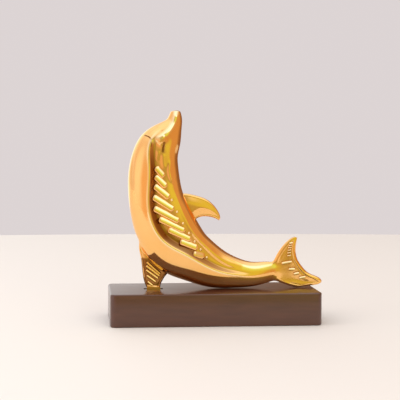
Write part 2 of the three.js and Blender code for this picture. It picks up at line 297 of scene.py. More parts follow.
def body_shell(settings):
    def place(along, share, side):
        section = Section(along**RING_CROWDING, settings.groove_depth)
        across = flank_place(section, share)
        point = section.middle + across[:, None] * section.across
        height = flank_height(section, across, settings.lip_bead)
        inside = smooth_step(1 - np.abs(across), 0, FOLD_EDGE)
        height = height + inside * fold_height(point)
        height = np.where((share > 0) & (share < 1), height, 0)
        return in_space(point, side * height)

    return wrapped_grid(settings.body_columns, settings.body_rows, place)


# The fins: each has a leading and a trailing edge, a thickness and a rim round a sunken panel
FIN_EDGE_ROUND = 5

BACK_FIN_LEADING = line(
    (-20.4, 51.7), (-15.9, 52.8), (-9.7, 51.7), (-3.7, 49.6), (1, 45.7), (3.7, 41.4), (4.2, 38.9),
)
BACK_FIN_TRAILING = line(
    (-14.8, 31.9), (-11.7, 36.1), (-8.3, 39.2), (-3.9, 40), (0.2, 39.3), (2.3, 38.4), (3.5, 37.8),
)
FLUKE_LEADING = line(
    (46.5, 28.4), (43.4, 26.9), (38.7, 22), (35.4, 16.6), (32.9, 11.1), (34.5, 4.6),
    (40.3, 1.9), (46.9, 0.1), (51.7, 0.5), (58.7, 1.3), (61.8, 2.6),
)
FLUKE_TRAILING = line(
    (48, 27.9), (47.4, 24.6), (47.2, 20.1), (48.1, 15.9), (49.8, 13.1), (52.2, 10.1),
    (54.4, 8.2), (56.8, 7), (59.1, 6.1), (61, 5), (62, 3.8),
)
LOWER_FIN_LEADING = line(
    (-38.4, 29.1), (-41.4, 24.3), (-40.3, 17.9), (-39.4, 11.1), (-38.5, 4.9), (-36.9, 0.5),
)
LOWER_FIN_TRAILING = line(
    (-19.3, 14.5), (-22.9, 10.4), (-26, 7.4), (-27.8, 4.8), (-29, 2.4), (-29.3, 0.2),
)

# Shares of a fin's points, from its edge to its middle, where the rim ends and where its wall ends
RIM_END = 0.34
RIM_WALL_END = 0.58

# The most that a rim or its wall takes of the way to the fin's middle
WIDEST_RIM = 0.4

# The way along a fin where its panel ends, 2 for one that runs to the tip, and how fast it fades there
WHOLE_PANEL = 2
LOWER_PANEL_END = 0.97
PANEL_FADE = 0.1

# The back fin's shallow panel, and the widths of the other panels' walls, of the bulge and of the dishes
BACK_FIN_PANEL = (0.15 * MM, 0.6 * MM)
BACK_FIN_BULGE_WIDTH = 8 * MM
FLUKE_WALL = 0.9 * MM
FLUKE_DISH_WIDTH = 9 * MM
LOWER_FIN_WALL = 0.6 * MM
NO_DISH = (0, 1 * MM)

# Columns and rows of the fins' grids
FIN_GRID = (70, 80)
FLUKE_GRID = (130, 90)


def fin_place(share, rim_width, wall_width, reach):
    """How far from the edge a share of the points lies, on a section that reaches so far to its middle."""
    rim = np.minimum(rim_width, WIDEST_RIM * reach)
    wall = np.minimum(wall_width, WIDEST_RIM * reach)
    on_rim = rim * (1 - np.cos(math.pi / 2 * np.clip(share / RIM_END, 0, 1)))
    on_wall = rim + wall * (share - RIM_END) / (RIM_WALL_END - RIM_END)
    on_panel = rim + wall + (reach - rim - wall) * (share - RIM_WALL_END) / (1 - RIM_WALL_END)
    return np.where(share < RIM_END, on_rim, np.where(share < RIM_WALL_END, on_wall, on_panel))


def fin_shell(leading, trailing, thickness_at, rim_width, panel, dish, grid, panel_end=WHOLE_PANEL):
    """A fin's shell. Its panel is a depth and the width of its wall, and so is the dish sunk in it."""

    def place(along, share, side):
        front, back = leading(along), trailing(along)
        half = (back - front) / 2
        reach = length_of(half)
        from_edge = fin_place(1 - np.abs(2 * share - 1), rim_width, panel[1], reach)
        across = np.where(share < 0.5, from_edge / reach - 1, 1 - from_edge / reach)
        bulge = 1 - np.abs(across) ** FIN_EDGE_ROUND
        height = thickness_at(along) / 2 * np.sqrt(np.clip(bulge, 0, None))
        depth_here = 1 - smooth_step(along, panel_end - PANEL_FADE, panel_end)
        for depth, wall in (panel, dish):
            height = height - depth * depth_here * smooth_step(from_edge, rim_width, rim_width + wall)
        height = np.where((share > 0) & (share < 1), height, 0)
        return in_space((front + back) / 2 + across[:, None] * half, side * height)

    return wrapped_grid(*grid, place)


def back_fin(settings):
    def thickness_at(way):
        return settings.back_fin_thickness + (settings.back_fin_tip - settings.back_fin_thickness) * way**2

    return fin_shell(BACK_FIN_LEADING, BACK_FIN_TRAILING, thickness_at, settings.back_fin_rim,
                     BACK_FIN_PANEL, (-settings.back_fin_bulge, BACK_FIN_BULGE_WIDTH), FIN_GRID)


def flukes(settings):
    def thickness_at(way):
        taper = np.abs(2 * way - 1) ** 4
        return settings.fluke_thickness + (settings.fluke_tip - settings.fluke_thickness) * taper

    return fin_shell(FLUKE_LEADING, FLUKE_TRAILING, thickness_at, settings.fluke_rim,
                     (settings.fluke_panel, FLUKE_WALL), (settings.fluke_dish, FLUKE_DISH_WIDTH), FLUKE_GRID)


def lower_fin(settings):
    def thickness_at(way):
        return np.full(way.shape, settings.foot_thickness)

    return fin_shell(LOWER_FIN_LEADING, LOWER_FIN_TRAILING, thickness_at, settings.lower_fin_rim,
                     (settings.lower_fin_panel, LOWER_FIN_WALL), NO_DISH, FIN_GRID, LOWER_PANEL_END)


FOOT_ROOT = 1.5 * MM


def foot(settings):
    """The foot of the lower fin, down in the block's slot."""
    front, back = LOWER_FIN_LEADING(1)[0], LOWER_FIN_TRAILING(1)[0]
    low = figure_low.z
    high = FOOT_LEVEL + FOOT_ROOT
    size = Vector((back - front, settings.foot_thickness, high - low))
    return box_shell(size, ((front + back) / 2, 0, (low + high) / 2))


# Ribs and cuts: a sphere is stretched along a path and bent to the surface that it follows. Its ends are
# rounded over a share of its half width
END_ROUND = 0.7
RIB_SEGMENTS = (20, 28)
DOT_SEGMENTS = (20, 12)
HEADING_STEP = 0.01
TINY = 1e-9


def rib(path, half_width, above, below, surface, side, lean=0, pointed=False):
    """A raised or cutting shape along a path. Its crest leans to the right of the run by a share."""
    length = path_length(path)
    shell = bmesh.new()
    around, along = RIB_SEGMENTS
    bmesh.ops.create_uvsphere(shell, u_segments=around, v_segments=along, radius=1)
    ball = np.array([vert.co for vert in shell.verts])
    way = (ball[:, 2] + 1) / 2
    from_end = np.minimum(way, 1 - way) * length
    flat = np.clip(1 - from_end / (END_ROUND * half_width), 0, 1)
    swell = np.sin(math.pi * way) if pointed else np.sqrt(1 - flat * flat)
    radius = np.maximum(np.hypot(ball[:, 0], ball[:, 1]), TINY)
    sideways, outward = ball[:, 0] / radius, ball[:, 1] / radius
    heading = path(np.clip(way + HEADING_STEP, 0, 1)) - path(np.clip(way - HEADING_STEP, 0, 1))
    heading /= length_of(heading)[:, None]
    aside = np.column_stack((heading[:, 1], -heading[:, 0]))
    middle = path(way)
    point = middle + aside * (half_width * swell * sideways)[:, None]
    reach = np.where(outward > 0, above * (1 + lean * sideways), below)
    height = surface(middle) + reach * swell * outward
    for vert, place in zip(shell.verts, in_space(point, side * height)):
        vert.co = place
    bmesh.ops.remove_doubles(shell, verts=shell.verts, dist=MERGE_DISTANCE)
    bmesh.ops.recalc_face_normals(shell, faces=shell.faces)
    return shell


def path_length(path):
    points = path(np.linspace(0, 1, PATH_CORNERS))
    return length_of(np.diff(points, axis=0)).sum()


def straight(start, end):
    return through(start, (start + end) / 2, end)


BAR_HEADS = line((-31.7, 66.3), (-31.5, 55.9), (-30.3, 43.5), (-22.5, 32.1), (-10.4, 19.7))
BAR_TAILS = line((-27.4, 61.5), (-24, 49.8), (-17.7, 37), (-11.1, 26.9), (-4.3, 18))
LOWER_BAR_HEADS = line((-37, 14.8), (-37.3, 10.5), (-36.4, 4.1))
LOWER_BAR_TAILS = line((-29.1, 8.1), (-30.3, 5.5), (-33.4, 1.6))
LOBE_BAR_MIDDLES = line((44.3, 25), (43.7, 22.9), (43.3, 20.6), (43.2, 18))
LOBE_BAR_WIDTH = 1.5 * MM
LOBE_BAR_HALF = np.array((1.15 * UNIT, 0.2 * UNIT))
LONG_BARS = (
    line((38.9, 13.4), (41.6, 14), (45, 14.5)),
    line((42.9, 10.1), (44.7, 10.3), (46.8, 10.3)),
    line((45.7, 7.4), (47.4, 7.8), (49.2, 8.1)),
    line((48.9, 5.1), (50.8, 5.6), (52.9, 5.9)),
)

# A bar in the groove starts inside the wall and stops before its dot, by these shares of its line. Its
# level follows the groove's floor from part of the way along, and its end dives below the floor
HEAD_IN_WALL = 0.3
TAIL_GAP = 0.16
FLOOR_FROM = 0.45
TAIL_DIVE = 0.45 * MM
BAR_ROOT = 3 * MM
BAR_LEAN = 0.6
DOT_WAYS = np.linspace(0.25, 1, 7)
DOT_RADIUS = 1.25 * MM


def at_level(height):
    return lambda points: np.full(len(points), height)


def mirrored(make_one):
    """A shape on either flank."""
    return [make_one(-1), make_one(1)]


def body_level(settings):
    return lambda points: body_height_at(points, settings)


def fluke_level(settings):
    return at_level(settings.fluke_thickness / 2 - settings.fluke_panel - settings.fluke_dish / 2)


def flank_bars(settings):
    return [flank_bar(way) for way in shares(settings.flank_bars)]


def fin_bars(settings):
    """The bars on the fins: each one's path, half its width and the level that it stands on."""
    on_lower = at_level(settings.foot_thickness / 2 - settings.lower_fin_panel)
    on_fluke = fluke_level(settings)
    bars = [(lower_bar(way), settings.fin_bar_width / 2, on_lower) for way in shares(settings.fin_bars)]
    bars += [(path, settings.fluke_bar_width / 2, on_fluke) for path in LONG_BARS]
    bars += [(lobe_bar(way), LOBE_BAR_WIDTH / 2, on_fluke) for way in shares(settings.lobe_bars)]
    return bars


def rib_groups(settings):
    """The raised ribs and dots, in groups whose shapes don't meet each other."""
    on_body = body_level(settings)
    bars, dots = [], []
    half_width, relief = settings.flank_bar_width / 2, settings.flank_bar_relief
    for path in flank_bars(settings):
        level = level_along(path, settings)
        bars += mirrored(lambda side: rib(path, half_width, relief, BAR_ROOT, level, side, BAR_LEAN))
    for way in DOT_WAYS:
        dots += mirrored(lambda side: knob(BAR_TAILS(way), on_body, side))
    relief = settings.fin_bar_relief
    for path, half_width, level in fin_bars(settings):
        bars += mirrored(lambda side: rib(path, half_width, relief, relief, level, side, BAR_LEAN))
    return bars, dots


def flank_bar(way):
    """A bar of the flank, from inside the groove's wall to just before its dot."""
    head, tail = BAR_HEADS(way), BAR_TAILS(way)
    return straight(head - HEAD_IN_WALL * (tail - head), tail - TAIL_GAP * (tail - head))


def lower_bar(way):
    return straight(LOWER_BAR_HEADS(way), LOWER_BAR_TAILS(way))


def lobe_bar(way):
    middle = LOBE_BAR_MIDDLES(way)
    return straight(middle - LOBE_BAR_HALF, middle + LOBE_BAR_HALF)


def level_along(path, settings):
    """The level of a straight line over the groove's floor, under the outer part of a bar."""
    start, end = path(FLOOR_FROM), path(1)
    low, high = body_height_at(np.array([start, end]), settings)
    high -= TAIL_DIVE
    run = end - start
    return lambda points: low + (high - low) * ((points - start) @ run) / (run @ run)


def knob(place, surface, side):
    """A round dot that stands on the surface."""
    shell = bmesh.new()
    around, upwards = DOT_SEGMENTS
    bmesh.ops.create_uvsphere(shell, u_segments=around, v_segments=upwards, radius=DOT_RADIUS)
    level = surface(place[None])[0]
    bmesh.ops.translate(shell, verts=shell.verts, vec=(place[0], side * level, place[1]))
    return shell


# Lines cut into the surface: the path, half the width and the depth
CURL = line((-38.6, 85.1), (-36.9, 84.5), (-35.3, 82.6), (-35.6, 79))
EYE = line((-28.9, 76.3), (-28.6, 78.6), (-28.1, 81.1))
BODY_CUTS = (
    (CURL, 0.6 * MM, 0.8 * MM),
    (EYE, 1.2 * MM, 0.6 * MM),
)
ABOVE_CUT = 1.5 * MM

# The line cut above each long bar of the flukes
LINE_ABOVE_BAR = 1.05 * UNIT
LINE_HALF_WIDTH = 0.45 * MM
LINE_DEPTH = 0.5 * MM


def all_cuts(settings):
    on_body, on_fluke = body_level(settings), fluke_level(settings)
    cuts = []
    for path, half_width, depth in BODY_CUTS:
        cuts += mirrored(lambda side: rib(path, half_width, ABOVE_CUT, depth, on_body, side, pointed=True))
    for bar_path in LONG_BARS:
        path = straight(bar_path(0) + (0, LINE_ABOVE_BAR), bar_path(1) + (0, LINE_ABOVE_BAR))
        cuts += mirrored(lambda side: rib(path, LINE_HALF_WIDTH, ABOVE_CUT, LINE_DEPTH, on_fluke, side))
    return cuts


# Making objects from shells


# Faces are told apart while pieces are combined: the form itself, and what is raised on it or cut into it
FORM, DETAIL = 0, 1


def object_from(shells, name, kind=FORM):
    """One object from closed shells."""
    whole = bmesh.new()
    for shell in shells:
        mesh = bpy.data.meshes.new(name)
        shell.to_mesh(mesh)
        shell.free()
        whole.from_mesh(mesh)
        bpy.data.meshes.remove(mesh)
    mesh = bpy.data.meshes.new(name)
    for face in whole.faces:
        face.material_index = kind
    whole.to_mesh(mesh)
    whole.free()
    made = bpy.data.objects.new(name, mesh)
    bpy.context.scene.collection.objects.link(made)
    return made


def combine(made, shells, operation, kind=FORM):
    """Joins shells to an object, or cuts them out of it."""
    tool = object_from(shells, "tool", kind)
    for mesh in (made.data, tool.data):
        while len(mesh.materials) <= DETAIL:
            mesh.materials.append(None)
    boolean = made.modifiers.new("combine", "BOOLEAN")
    boolean.operation = operation
    boolean.solver = "MANIFOLD"
    boolean.object = tool
    graph = bpy.context.evaluated_depsgraph_get()
    combined = bpy.data.meshes.new_from_object(made.evaluated_get(graph))
    made.modifiers.clear()
    old = made.data
    made.data = combined
    combined.name = made.name
    bpy.data.meshes.remove(old)
    used = tool.data
    bpy.data.objects.remove(tool)
    bpy.data.meshes.remove(used)


# The steepest angles that are shaded smooth: where a detail meets the form, and on either piece
SEAM_ANGLE = math.radians(10)
DOLPHIN_ANGLE = math.radians(52)
BLOCK_ANGLE = math.radians(35)


def smooth_with_sharp_edges(made, angle):
    """Shades faces smooth, with sharp edges at steep angles and where a detail meets the form."""
    shell = bmesh.new()
    shell.from_mesh(made.data)
    for edge in shell.edges:
        kinds = {face.material_index for face in edge.link_faces}
        sharpest = SEAM_ANGLE if len(kinds) > 1 else angle
        edge.smooth = len(edge.link_faces) == 2 and edge.calc_face_angle(0) < sharpest
    for face in shell.faces:
        face.smooth = True
        face.material_index = 0
    shell.to_mesh(made.data)
    shell.free()


def finish_piece(made, node, material):
    made.data.materials.clear()
    made.data.materials.append(material)
    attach(made, "root")
    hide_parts(node)


# Materials


def feed(tree, node, inputs):
    """Sets a node's inputs to values, or links them from the outputs of other nodes."""
    for name, value in inputs.items():
        if isinstance(value, bpy.types.NodeSocket):
            tree.links.new(value, node.inputs[name])
        else:
            node.inputs[name].default_value = value


def add_node(tree, kind, inputs, output, **options):
    """Adds a node with its options and inputs, and gives one of its outputs."""
    node = tree.nodes.new(kind)
    for name, value in options.items():
        setattr(node, name, value)
    feed(tree, node, inputs)
    return node.outputs[output]


def noise(tree, vector, scale, detail):
    return add_node(tree, "ShaderNodeTexNoise", {"Scale": scale, "Detail": detail, "Vector": vector}, "Fac")


def mix_colours(tree, share, first, second):
    inputs = {"Factor": share, "A": first, "B": second}
    return add_node(tree, "ShaderNodeMix", inputs, "Result", data_type="RGBA")


def two_tones(tree, share, darker, lighter, margin):
    """A blend of two colours by a share, which is plain for a margin at either end."""
    ramp = tree.nodes.new("ShaderNodeValToRGB")
    first, last = ramp.color_ramp.elements
    first.position, last.position = margin, 1 - margin
    first.color, last.color = (*darker, 1), (*lighter, 1)
    feed(tree, ramp, {"Fac": share})
    return ramp.outputs["Color"]


def varied(tree, share, roughness, spread):
    inputs = {"Value": share, "To Min": roughness * (1 - spread), "To Max": roughness * (1 + spread)}
    return add_node(tree, "ShaderNodeMapRange", inputs, "Result")


def bumps(tree, height, strength, distance):
    inputs = {"Strength": strength, "Distance": distance, "Height": height}
    return add_node(tree, "ShaderNodeBump", inputs, "Normal")


def new_material(name):
    material = bpy.data.materials.new(name)
    material.use_nodes = True
    return material, material.node_tree, material.node_tree.nodes["Principled BSDF"]


def gold_material(settings):
    """Polished gold-coloured metal with soft casting waves, browner in painted shade, paler in painted
    highlights.
    """
    material, tree, shader = new_material("polished gold")
    place = add_node(tree, "ShaderNodeTexCoord", {}, "Object")
    tone = noise(tree, place, scale=28, detail=4)
    colour = two_tones(tree, tone, settings.gold_deep, settings.gold, margin=0.35)
    # The hollow mark paints shade in a dark brown, and the crest mark paints highlights in a pale gold
    for mark, tint in (("hollow", settings.gold_painted_shade), ("crest", settings.gold_painted_highlight)):
        share = add_node(tree, "ShaderNodeAttribute", {}, "Fac", attribute_name=mark)
        colour = mix_colours(tree, share, colour, (*tint, 1))
    dull = noise(tree, place, scale=90, detail=6)
    waves = noise(tree, place, scale=75, detail=2)
    feed(tree, shader, {
        "Metallic": 1,
        "Base Color": colour,
        "Roughness": varied(tree, dull, settings.gold_roughness, spread=0.4),
        "Normal": bumps(tree, waves, strength=0.35, distance=0.25 * MM),
    })
    return material


GRAIN_STRETCH = (0.12, 1, 1)


def block_material(settings):
    """Dark brown satin lacquer over fine grain."""
    material, tree, shader = new_material("dark brown satin")
    place = add_node(tree, "ShaderNodeTexCoord", {}, "Object")
    along = add_node(tree, "ShaderNodeMapping", {"Scale": GRAIN_STRETCH, "Vector": place}, "Vector")
    grain = noise(tree, along, scale=260, detail=8)
    feed(tree, shader, {
        "Coat Weight": 0.5,
        "Coat Roughness": 0.14,
        "Base Color": two_tones(tree, grain, settings.brown_deep, settings.brown, margin=0.3),
        "Roughness": varied(tree, grain, settings.block_roughness, spread=0.15),
        "Normal": bumps(tree, grain, strength=0.15, distance=0.1 * MM),
    })
    return material


# Painted light on the metal: hollow is where shade is painted browner, and crest is where highlights are
# painted paler
# Where the painted highlight along the groove's lip is looked for, and how strongly it is painted
LIP_WAYS = np.linspace(0.12, 0.9, 400)
LIP_GAIN = 2
# How strongly shade is painted into creases, and over how many passes it spreads
HOLLOW_PASSES = 4
HOLLOW_GAIN = 2.2
# How strongly shade is painted on the groove's wall, in the cuts, in the lower fin's panel and in the flukes'
# panels
WALL_SHADE = 0.9
CUT_SHADE = 0.8
PANEL_SHADE = 0.8
FLUKE_SHADE = 0.12

# Shares of the groove's wall between which its painted shade is full, and where that shade ends
WALL_FULL = (0.25, 0.75)
WALL_MARK_END = 1.25

# A cut's painted shade is full on this share of its width
CUT_CORE = 0.5

# Where shade is painted in the lower fin's panel and in the flukes' panels
PANEL_SHADE_RISE = 0.25 * MM
FIN_SHADE_TOP = FOOT_LEVEL + 17 * UNIT
FIN_SHADE_LOW = FOOT_LEVEL + 1 * MM
FIN_SHADE_RIGHT = -24 * UNIT
FLUKE_SHADE_DROP = 0.2 * MM
FLUKE_SHADE_LEFT = 37 * UNIT
FLUKE_SHADE_FADE = 6 * UNIT

# Painted highlights along lines: the path, and how far the highlight reaches from it
TAIL_FLANK = line((17, 12.2), (22, 11.4), (28, 11.6), (34.5, 12))
HIGHLIGHT_LINES = ((BEAK_RIDGE, 3.4 * MM), (TAIL_FLANK, 3.2 * MM))
HIGHLIGHT_LINE_CORE = 0.5 * MM
MARK_CORNERS = 24

# How far a bar in the groove stands out where its marks begin and where they are full, and shares of a
# dot's radius between which its painted highlight fades
STANDS_OUT = (0.05 * MM, 0.35 * MM)
DOT_FADE = (0.6, 0.95)

# Shares of a bar's half width: from its middle to its upper side the painted highlight rises and fades,
# and it fades towards the bar's ends, as the mark of the whole bar does
CREST_RISE = (-0.35, -0.05)
CREST_FADE = (0.6, 0.9)
CREST_ENDS = (0.1, 0.8)
BAR_SIDES = (0.7, 1)
BAR_ENDS = (0, 0.5)


def groove_marks(places):
    """How much of the groove's wall and of its lip each point lies on, from 0 to 1."""
    section = Section(LIP_WAYS, 0)
    lips = section.middle + section.lip[:, None] * section.across
    reach = length_of(section.across)
    aside = section.across / reach[:, None]
    tree = KDTree(len(lips))
    for i, (x, z) in enumerate(lips):
        tree.insert((x, 0, z), i)
    tree.balance()
    nearest = np.array([tree.find((x, 0, z))[1] for x, _, z in places])
    offset = ((places[:, [0, 2]] - lips[nearest]) * aside[nearest]).sum(1)
    wall = WALL_WIDTH * reach[nearest]
    full_from, full_to = WALL_FULL
    # The groove's wall takes painted shade
    down = smooth_step(offset, 0, full_from * wall)
    down *= 1 - smooth_step(offset, full_to * wall, WALL_MARK_END * wall)
    strength = section.strength[nearest]
    # The lip's bead takes a painted highlight
    on_lip = np.exp(-(((offset + BEAD_WIDTH) / BEAD_WIDTH) ** 2))
    return strength * down, np.clip(LIP_GAIN * strength, 0, 1) * on_lip


def crease_shade(mesh, places):
    """How hollow the surface is at each point, from 0 to 1, from how the normals around it lean in."""
    count = len(mesh.vertices)
    normals = np.empty(count * 3, np.float32)
    mesh.vertex_normals.foreach_get("vector", normals)
    normals = normals.reshape(-1, 3)
    ends = np.empty(len(mesh.edges) * 2, int)
    mesh.edges.foreach_get("vertices", ends)
    first, second = ends.reshape(-1, 2).T
    along = places[second] - places[first]
    along /= np.maximum(length_of(along), TINY)[:, None]
    bend = np.zeros(count)
    neighbours = np.zeros(count)
    np.add.at(bend, first, (normals[first] * along).sum(1))
    np.add.at(bend, second, -(normals[second] * along).sum(1))
    np.add.at(neighbours, first, 1)
    np.add.at(neighbours, second, 1)
    neighbours = np.maximum(neighbours, 1)
    value = np.clip(bend / neighbours * HOLLOW_GAIN, 0, 1)
    for _ in range(HOLLOW_PASSES):
        spread = np.zeros(count)
        np.add.at(spread, first, value[second])
        np.add.at(spread, second, value[first])
        value = (value + spread / neighbours) / 2
    return value


def mark_surface(made, settings):
    """Stores each point's painted shade, in hollows, and painted highlight, on crests, from 0 to 1."""
    mesh = made.data
    places = np.empty(len(mesh.vertices) * 3)
    mesh.vertices.foreach_get("co", places)
    places = places.reshape(-1, 3)
    x, y, z = places.T
    points = places[:, [0, 2]]
    # Shade painted into creases, where the surface bends inwards
    value = crease_shade(mesh, places)
    wall, lip = groove_marks(places)
    crest, on_bar = bar_marks(places, settings)
    # Painted shade on the groove's wall, in the cuts and in the sunk panels
    value += WALL_SHADE * wall
    for path, half_width, _ in BODY_CUTS:
        value += CUT_SHADE * (1 - smooth_step(gap_to(path, points), CUT_CORE * half_width, half_width))
    sunk = settings.foot_thickness / 2 - settings.lower_fin_panel + PANEL_SHADE_RISE
    on_fin = (z < FIN_SHADE_TOP) & (z > FIN_SHADE_LOW) & (x < FIN_SHADE_RIGHT)
    value += PANEL_SHADE * (on_fin & (np.abs(y) < sunk))
    sunk = settings.fluke_thickness / 2 - settings.fluke_panel - FLUKE_SHADE_DROP
    on_flukes = smooth_step(x, FLUKE_SHADE_LEFT, FLUKE_SHADE_LEFT + FLUKE_SHADE_FADE)
    value += FLUKE_SHADE * on_flukes * (np.abs(y) < sunk)
    # Highlights painted along the beak's ridge and the tail's flank
    ridge = np.zeros(len(places))
    for path, reach in HIGHLIGHT_LINES:
        ridge = np.maximum(ridge, 1 - smooth_step(gap_to(path, points), HIGHLIGHT_LINE_CORE, reach))
    store(mesh, "hollow", value * (1 - on_bar))
    store(mesh, "crest", np.maximum(crest, np.maximum(lip, ridge) * (1 - wall)))


def gap_to(path, points):
    """The distance from each point of the mirror plane to a path."""
    corners = path(np.linspace(0, 1, MARK_CORNERS))
    return length_of(points[:, None, :] - corners[None]).min(axis=1)


def store(mesh, name, values):
    attribute = mesh.attributes.new(name, "FLOAT", "POINT")
    attribute.data.foreach_set("value", np.clip(values, 0, 1).astype(np.float32))


def bar_marks(places, settings):
    """How much of a bar's upper face, and of a bar in the groove, each point lies on, from 0 to 1."""
    points = places[:, [0, 2]]
    crest, on_bar = np.zeros(len(points)), np.zeros(len(points))
    # A bar's upper face takes a painted highlight
    for path in flank_bars(settings):
        upper, any_face = marks_along(path, settings.flank_bar_width / 2, points)
        crest, on_bar = np.maximum(crest, upper), np.maximum(on_bar, any_face)
    fade_from, fade_to = (share * DOT_RADIUS for share in DOT_FADE)
    # Each dot at a bar's end takes a painted highlight
    for way in DOT_WAYS:
        from_dot = length_of(points - BAR_TAILS(way))
        crest = np.maximum(crest, 1 - smooth_step(from_dot, fade_from, fade_to))
    near = np.flatnonzero((crest > 0) | (on_bar > 0))
    above = np.abs(places[near, 1]) - body_height_at(points[near], settings)
    stands_out = smooth_step(above, *STANDS_OUT)
    crest[near] *= stands_out
    on_bar[near] *= stands_out
    for path, half_width, _ in fin_bars(settings):
        crest = np.maximum(crest, marks_along(path, half_width, points)[0])
    return crest, on_bar


def marks_along(path, half_width, points):
    start, end = path(0), path(1)
    run = end - start
    along = np.clip((points - start) @ run / (run @ run), 0, 1)
    from_end = np.minimum(along, 1 - along) * length_of(run) / half_width
    offset = points - (start + along[:, None] * run)
    upwards = (run[0] * offset[:, 1] - run[1] * offset[:, 0]) / length_of(run) / half_width
    inside = smooth_step(upwards, *CREST_RISE) * (1 - smooth_step(upwards, *CREST_FADE))
    upper = inside * smooth_step(from_end, *CREST_ENDS)
    return upper, (1 - smooth_step(np.abs(upwards), *BAR_SIDES)) * smooth_step(from_end, *BAR_ENDS)


# Settings


def size_property(name, description, millimetres):
    return FloatProperty(name=name, description=description, default=millimetres * MM, unit="LENGTH",
                         precision=5)


def colour_property(name, description, colour):
    return FloatVectorProperty(name=name, description=description, default=colour, subtype="COLOR", size=3,
                               min=0, max=1)


class DolphinSettings(bpy.types.PropertyGroup):
    groove_depth: size_property("Groove depth", "Depth of the groove along the flank", 5)
    lip_bead: size_property("Lip bead", "Height of the bead along the groove's lip", 0.35)
    back_fin_bulge: size_property("Back fin bulge", "How far the back fin's faces swell", 1.3)
    fluke_panel: size_property("Fluke panel", "How far the flukes' panels are sunk", 0.5)
    fluke_dish: size_property("Fluke dish", "How far the panels are dished inside their walls", 0.35)
    lower_fin_panel: size_property("Lower fin panel", "How far the lower fin's panels are sunk", 1)
    back_fin_thickness: size_property("Back fin thickness", "Thickness at the back fin's root", 5)
    back_fin_tip: size_property("Back fin tip", "Thickness at the back fin's tip", 2)
    back_fin_rim: size_property("Back fin rim", "Width of the back fin's rim", 1.6)
    fluke_thickness: size_property("Fluke thickness", "Thickness in the middle of the flukes", 4.6)
    fluke_tip: size_property("Fluke tips", "Thickness at the tips of the flukes", 2.2)
    fluke_rim: size_property("Fluke rim", "Width of the flukes' rim", 2.8)
    foot_thickness: size_property("Lower fin thickness", "Thickness of the lower fin and its foot", 4.4)
    lower_fin_rim: size_property("Lower fin rim", "Width of the lower fin's rim", 1.4)
    flank_bars: IntProperty(name="Flank bars", description="Bars in each flank's groove", default=9, min=2)
    flank_bar_width: size_property("Flank bar width", "Width of a bar in the groove", 6)
    flank_bar_relief: size_property("Flank bar relief", "Height of a bar in the groove", 1.5)
    fin_bars: IntProperty(name="Lower fin bars", description="Bars on the lower fin", default=5, min=2)
    lobe_bars: IntProperty(name="Lobe bars", description="Bars on the upper fluke", default=6, min=2)
    fin_bar_width: size_property("Fin bar width", "Width of a bar on a fin", 2.2)
    fluke_bar_width: size_property("Fluke bar width", "Width of a long bar on the flukes", 2.3)
    fin_bar_relief: size_property("Fin bar relief", "Height of a bar on a fin", 0.9)
    body_columns: IntProperty(name="Body columns", description="Steps along the body", default=300, min=60)
    body_rows: IntProperty(name="Body rows", description="Steps round the body", default=140, min=40)
    gold: colour_property("Gold", "Colour of the polished metal", (1, 0.59, 0.22))
    gold_deep: colour_property("Deep gold", "Colour of its darker patches", (0.95, 0.53, 0.17))
    # The colour of the painted shade
    gold_painted_shade: colour_property("Gold in hollows", "Colour in hollows, walls and panels", (0.24, 0.09, 0.02))
    # The colour of the painted highlights
    gold_painted_highlight: colour_property("Painted highlight gold", "Colour of the paler faces and ridges", (1, 0.81, 0.46))
    gold_roughness: FloatProperty(name="Gold roughness", description="Roughness of the polish", default=0.11,
                                  min=0, max=1, subtype="FACTOR")


class BlockSettings(bpy.types.PropertyGroup):
    corner_radius: size_property("Corner radius", "Radius of the upright corners", 5)
    edge_round: size_property("Edge round", "Radius of the top and bottom edges", 1.2)
    slot_side: size_property("Slot clearance", "Clearance beside the foot in the slot", 0.4)
    slot_end: size_property("Slot end clearance", "Clearance before and behind the foot", 2.4)
    slot_floor: size_property("Slot floor clearance", "Clearance under the foot", 0.4)
    brown: colour_property("Brown", "Colour of the lacquered block", (0.084, 0.026, 0.013))
    brown_deep: colour_property("Deep brown", "Colour of its darker grain", (0.061, 0.018, 0.009))
    block_roughness: FloatProperty(name="Roughness", description="Roughness of the lacquer", default=0.34,
                                   min=0, max=1, subtype="FACTOR")


class StageSettings(bpy.types.PropertyGroup):
    floor_width: size_property("Floor width", "Size of the floor across the view", 2600)
    floor_length: size_property("Floor length", "Size of the floor into the view", 960)
    floor_back: size_property("Floor centre", "How far behind the figurine the floor's middle lies", 220)
    floor_colour: colour_property("Floor", "Colour of the floor", (0.78, 0.72, 0.67))
    lens: FloatProperty(name="Lens", description="Focal length", default=81, unit="CAMERA")


# Pieces


# Joints that the casting softens: the middle and the reach in hundredths of the dolphin's height, and the
# number of passes. The reach shrinks by a share over the passes
SOFT_JOINTS = (((38.5, 9), 9, 70), ((-39, 26), 7, 40))
REACH_SHRINK = 0.5


def soften_joints(made):
    """Smooths the junctions where the tail spreads into the flukes and the lower fin leaves the body."""
    shell = bmesh.new()
    shell.from_mesh(made.data)
    for (x, z), reach, passes in SOFT_JOINTS:
        middle = np.array((x * UNIT, FOOT_LEVEL + z * UNIT))
        gaps = [(length_of(np.array((vert.co.x, vert.co.z)) - middle), vert) for vert in shell.verts]
        for i in range(passes):
            reached = reach * UNIT * (1 - REACH_SHRINK * i / passes)
            near = [vert for gap, vert in gaps if gap < reached]
            bmesh.ops.smooth_vert(shell, verts=near, factor=0.5, use_axis_x=True, use_axis_y=True,
                                  use_axis_z=True)
    shell.to_mesh(made.data)
    shell.free()


